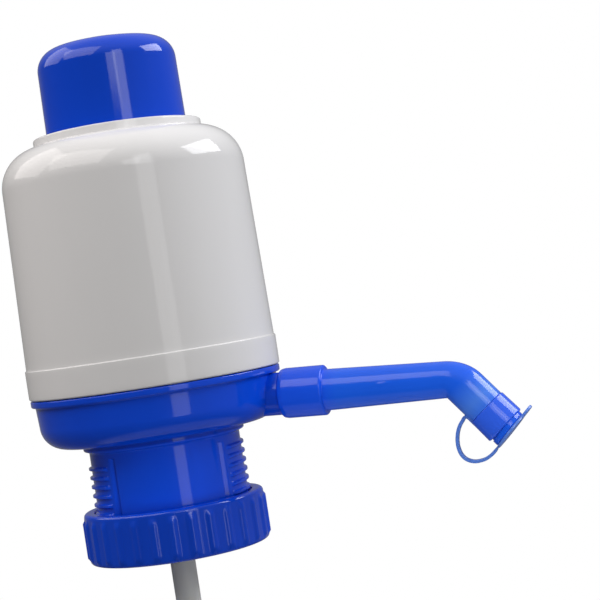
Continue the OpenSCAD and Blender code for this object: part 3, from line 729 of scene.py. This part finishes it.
# ------------------------------------------------------------------ cap: disc, lift tab, plug
def cap():
    segs = 192
    base = []
    for k in range(segs):
        f = (2 * math.pi * k / segs + math.pi) % (2 * math.pi) - math.pi   # 0 points to the underside
        g = abs(abs(f) - math.pi)                                           # 0 points to the tab
        r = 7.9
        q = 3.4 ** 2 - (8.9 * math.sin(g)) ** 2
        if g < 0.5 and q > 0:
            r = max(r, 8.9 * math.cos(g) + math.sqrt(q))
        base.append(r)
    base = np.array(base)
    for _ in range(4):
        base = (np.roll(base, 1) + base * 2 + np.roll(base, -1)) / 4
    t0, t1 = 0.0, CAP_TH + 0.25
    # (radius, or distance from the rim, height over the mouth, 1 where it follows the rim)
    prof = [(0.0, t1 - 0.2, 0), (3.0, t1 - 0.2, 0), (5.6, t1 - 0.2, 0), (6.0, t1 - 0.18, 0), (6.35, t1 - 0.04, 0), (6.6, t1, 0), (-0.7, t1, 1)]
    prof += [(-0.36 + 0.36 * math.sin(math.radians(a)), t1 - 0.36 + 0.36 * math.cos(math.radians(a)), 1) for a in (0, 22, 45, 67, 90)]
    prof += [(-0.3 + 0.3 * math.cos(math.radians(a)), t0 + 0.3 - 0.3 * math.sin(math.radians(a)), 1) for a in (0, 30, 60, 90)]
    prof += [(5.75, t0, 0), (5.5, t0 - 0.1, 0), (5.38, t0 - 0.4, 0), (4.85, t0 - 2.5, 0), (4.65, t0 - 2.85, 0), (4.4, t0 - 3.0, 0), (3.5, t0 - 3.0, 0), (3.3, t0 - 2.8, 0), (3.2, t0 - 0.5, 0), (2.9, t0 - 0.2, 0), (0.0, t0 - 0.2, 0)]
    verts, faces = [], []
    m = len(prof)
    o = BP + CAP_T * TIP
    for k in range(segs):
        a = 2 * math.pi * k / segs
        for j, (r, t, rim) in enumerate(prof):
            rr = base[k] + r if rim else r
            verts.append(tuple(o + t * CAP_OUT + rr * (math.cos(a) * CAP_UND + math.sin(a) * EY)))
    for k in range(segs):
        k2 = (k + 1) % segs
        for j in range(m - 1):
            faces.append((k * m + j, k * m + j + 1, k2 * m + j + 1, k2 * m + j))
    return make("cap_disc", verts, faces, 40)


cap_ob = cap()
stands_for(cap_ob, "cap", BLUE_STRAP, "blue_plastic", "spout_cap")

# ------------------------------------------------------------------ bellows and spring
def bellows():
    n = 6
    h = (Z_PUSH - 1.4 - Z_BELLOWS) / n
    o = [(31.2, Z_PLATE), (44.4, Z_PLATE), (44.4, Z_BELLOWS), (34.0, Z_BELLOWS)]
    for i in range(n * 16 + 1):
        o.append((36.75 - 3.75 * math.cos(2 * math.pi * i / 16), Z_BELLOWS + 0.4 + (n * h - 0.4) * i / (16 * n)))
    o += [(33.0, Z_PUSH), (25.0, Z_PUSH), (25.0, Z_PUSH - 1.4)]
    for i in range(n * 16, -1, -1):
        o.append((35.55 - 3.75 * math.cos(2 * math.pi * i / 16), Z_BELLOWS + 0.4 + (n * h - 0.9) * i / (16 * n)))
    return lathe("air_bellows", o, 120, sharp=50)


def spring():
    turns, low, top = 11, Z_PLATE + 0.8, Z_PUSH - 0.8
    rings = []
    n = turns * 32
    for i in range(n + 1):
        a = turns * i / n
        if a < 1:
            z = low + 1.66 * a
        elif a > turns - 1:
            z = top - 1.66 * (turns - a)
        else:
            z = low + 1.66 + (top - low - 3.32) * (a - 1) / (turns - 2)
        t = 2 * math.pi * a
        rings.append([((13 + 0.78 * math.cos(b)) * math.cos(t), (13 + 0.78 * math.cos(b)) * math.sin(t), z + 0.78 * math.sin(b)) for b in (2 * math.pi * k / 12 for k in range(12))])
    return loft("coil_spring", rings, False, 50)


for ob, mat, slot, node in ((bellows(), NATURAL, "natural_plastic", "bellows"), (spring(), STEEL, "steel", "return_spring")):
    stands_for(ob, "base", mat, slot, node)
    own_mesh(ob)

# ------------------------------------------------------------------ floor, light, camera
def floor():
    z = cad_lo[2] - 0.0004
    verts, faces = [], []
    segs, radii = 96, [0.0, 0.1, 0.2, 0.3, 0.4, 0.5, 0.6, 0.7, 0.8]
    verts.append((0.04, 0, z))
    for r in radii[1:]:
        for k in range(segs):
            a = 2 * math.pi * k / segs
            verts.append((0.04 + r * math.cos(a), r * math.sin(a), z))
    for k in range(segs):
        faces.append((0, 1 + k, 1 + (k + 1) % segs))
    for i in range(len(radii) - 2):
        for k in range(segs):
            a, b = 1 + i * segs + k, 1 + i * segs + (k + 1) % segs
            faces.append((a, a + segs, b + segs, b))
    me = bpy.data.meshes.new("floor")
    me.from_pydata(verts, [], faces)
    ob = bpy.data.objects.new("floor", me)
    bpy.context.scene.collection.objects.link(ob)
    mat = bpy.data.materials.new("floor_pale")
    nt, b = nodes_of(mat)
    geo = nt.nodes.new("ShaderNodeNewGeometry")
    tc = nt.nodes.new("ShaderNodeTexCoord").outputs["Object"]
    n = noise(nt, tc, 30, 3, 0.5)
    nt.links.new(mix_colour(nt, remap(nt, n, 0.3, 0.7, 0, 1), (0.90, 0.90, 0.90), (0.93, 0.93, 0.93)), b.inputs["Base Color"])
    b.inputs["Roughness"].default_value = 0.7
    clear = nt.nodes.new("ShaderNodeBsdfTransparent")
    mix = nt.nodes.new("ShaderNodeMixShader")
    sep = nt.nodes.new("ShaderNodeSeparateXYZ")
    nt.links.new(tc, sep.inputs[0])
    x2 = math_node(nt, "MULTIPLY", math_node(nt, "SUBTRACT", sep.outputs["X"], 0.04), math_node(nt, "SUBTRACT", sep.outputs["X"], 0.04))
    y2 = math_node(nt, "MULTIPLY", sep.outputs["Y"], sep.outputs["Y"])
    d = math_node(nt, "SQRT", math_node(nt, "ADD", x2, y2), 0.0)
    fade = remap(nt, d, 0.07, 0.24, 0.0, 1.0)
    fac = math_node(nt, "MAXIMUM", fade, geo.outputs["Backfacing"])
    # the floor shows only faintly in the gloss, as a dull table would
    shine = nt.nodes.new("ShaderNodeLightPath").outputs["Is Glossy Ray"]
    fac = math_node(nt, "MAXIMUM", fac, math_node(nt, "MULTIPLY", shine, 0.65))
    nt.links.new(fac, mix.inputs[0])
    nt.links.new(b.outputs[0], mix.inputs[1])
    nt.links.new(clear.outputs[0], mix.inputs[2])
    out = [x for x in nt.nodes if x.type == "OUTPUT_MATERIAL"][0]
    nt.links.new(mix.outputs[0], out.inputs["Surface"])
    me.materials.append(mat)


floor()

world = bpy.data.worlds.new("studio")
bpy.context.scene.world = world
world.use_nodes = True
wn = world.node_tree
wn.nodes.clear()
wo = wn.nodes.new("ShaderNodeOutputWorld")
lit = wn.nodes.new("ShaderNodeBackground")
lit.inputs["Color"].default_value = (1.0, 1.0, 1.0, 1)
seen = wn.nodes.new("ShaderNodeBackground")
seen.inputs["Color"].default_value = (1, 1, 1, 1)
seen.inputs["Strength"].default_value = 1.0
lp = wn.nodes.new("ShaderNodeLightPath")
wm = wn.nodes.new("ShaderNodeMixShader")
wn.links.new(lp.outputs["Is Camera Ray"], wm.inputs[0])
wn.links.new(lit.outputs[0], wm.inputs[1])
wn.links.new(seen.outputs[0], wm.inputs[2])
wn.links.new(wm.outputs[0], wo.inputs["Surface"])

AZ, EL, ROLL, DIST, FPX = math.radians(15.70), math.radians(0.24), math.radians(-8.69), 0.660, 1659.2
TX, TZ = 0.06180, 0.04548
fwd = Vector((-math.sin(AZ) * math.cos(EL), math.cos(AZ) * math.cos(EL), -math.sin(EL)))
right = fwd.cross(Vector((0, 0, 1))).normalized()
up = right.cross(fwd)
right2 = math.cos(ROLL) * right + math.sin(ROLL) * up
up2 = -math.sin(ROLL) * right + math.cos(ROLL) * up
target = Vector((TX * math.cos(AZ), TX * math.sin(AZ), TZ))
eye = target - fwd * DIST
cam = bpy.data.cameras.new("camera")
cam.sensor_width = 36
cam.lens = FPX * 36 / 600
cam.clip_start, cam.clip_end = 0.01, 20
cam_ob = bpy.data.objects.new("camera", cam)
cam_ob.matrix_world = Matrix(((right2.x, up2.x, -fwd.x, eye.x), (right2.y, up2.y, -fwd.y, eye.y), (right2.z, up2.z, -fwd.z, eye.z), (0, 0, 0, 1)))
bpy.context.scene.collection.objects.link(cam_ob)
bpy.context.scene.camera = cam_ob


def world_light():
    """Studio surroundings: darker on the left of the camera, lighter on its right, white behind the object and soft overhead."""
    d = wn.nodes.new("ShaderNodeTexCoord").outputs["Generated"]

    def toward(v):
        n = wn.nodes.new("ShaderNodeVectorMath")
        n.operation = "DOT_PRODUCT"
        n.inputs[1].default_value = tuple(v)
        wn.links.new(d, n.inputs[0])
        return n.outputs["Value"]

    def ramp(v, a, b, c, e):
        m = wn.nodes.new("ShaderNodeMapRange")
        m.interpolation_type = "SMOOTHSTEP"
        for i, x in enumerate((a, b, c, e)):
            m.inputs[i + 1].default_value = x
        wn.links.new(v, m.inputs[0])
        return m.outputs[0]

    def mix(f, a, b):
        m = wn.nodes.new("ShaderNodeMix")
        for x, sock in ((f, m.inputs[0]), (a, m.inputs[2]), (b, m.inputs[3])):
            if isinstance(x, float):
                sock.default_value = x
            else:
                wn.links.new(x, sock)
        return m.outputs[0]

    side = ramp(toward(right), -0.1, 0.75, LEFT, RIGHT)
    l = mix(ramp(toward(fwd), 0.55, 1.0, 0.0, 1.0), side, BACK)
    l = mix(ramp(toward((0, 0, 1)), 0.25, 0.9, 0.0, 1.0), l, TOP)
    l = mix(ramp(toward((0, 0, -1)), 0.1, 0.8, 0.0, 1.0), l, LOW)
    wn.links.new(l, lit.inputs["Strength"])


LEFT, RIGHT, BACK, TOP, LOW = 0.11, 0.25, 0.22, 0.70, 0.08
world_light()


def toward_light(az, el):
    """The direction that lies az degrees to the right of the camera's side of the object and el degrees up."""
    a, e = math.radians(az), math.radians(el)
    flat = Vector((-fwd.x, -fwd.y, 0)).normalized()
    return right * (math.sin(a) * math.cos(e)) + flat * (math.cos(a) * math.cos(e)) + Vector((0, 0, math.sin(e)))


def area(name, centre, az, el, dist, size, radiance, colour=(1, 1, 1), lift=0.0, aside=0.0):
    """A soft box facing the point centre, by its brightness; lift and aside slide it in its own plane."""
    l = bpy.data.lights.new(name, "AREA")
    l.shape = "RECTANGLE"
    l.size, l.size_y = size
    l.energy = math.pi * size[0] * size[1] * radiance
    l.color = colour
    o = bpy.data.objects.new(name, l)
    d = toward_light(az, el)
    turn = (-d).to_track_quat("-Z", "Y")
    o.rotation_mode = "QUATERNION"
    o.rotation_quaternion = turn
    o.location = Vector(centre) + d * dist + turn @ Vector((aside, lift, 0.0))
    o.visible_camera = False
    bpy.context.scene.collection.objects.link(o)
    return o


WARM, COOL = (1.0, 0.945, 0.912), (0.97, 0.97, 1.0)
area("strip_low", (0, 0, 0), 25.2, 0, 1.27, (0.36, 0.61), 1.3, lift=-0.035)
area("strip_high", (0, 0, 0), 25.2, 0, 1.27, (0.36, 0.65), 2.7, lift=0.595)
streak = area("streak_tip", (0.13, 0, -0.02), 8, 23, 1.27, (0.34, 0.30), 2.2)
streak.visible_diffuse = False
area("key_right", (0.13, 0, -0.01), 97, 37.5, 0.80, (0.58, 0.34), 7.0, COOL)
area("streak_left", (0.10, 0, 0.008), -35, 45, 0.80, (0.66, 0.46), 2.2, WARM, lift=0.04, aside=-0.19)
pale = bpy.data.collections.new("front_fill_on")
for ob in (spout_ob, ring_ob, loop_ob, film, cap_ob, collet_ob):
    pale.objects.link(ob)
fill = area("fill_front", (0.09, 0, 0), 2, -27, 0.42, (0.22, 0.22), 3.8)
fill.visible_glossy = False
fill.light_linking.receiver_collection = pale
under = bpy.data.collections.new("under_fill_on")
under.objects.link(bowl_ob)
fill = area("fill_under", (0, 0, 0.01), 10, -60, 0.27, (0.22, 0.22), 0.8)
fill.visible_glossy = False
fill.light_linking.receiver_collection = under
area("fill_left", (0, 0, 0.03), -100, 40, 1.10, (0.80, 0.80), 1.8, WARM)

bpy.context.scene.view_settings.view_transform = "Standard"
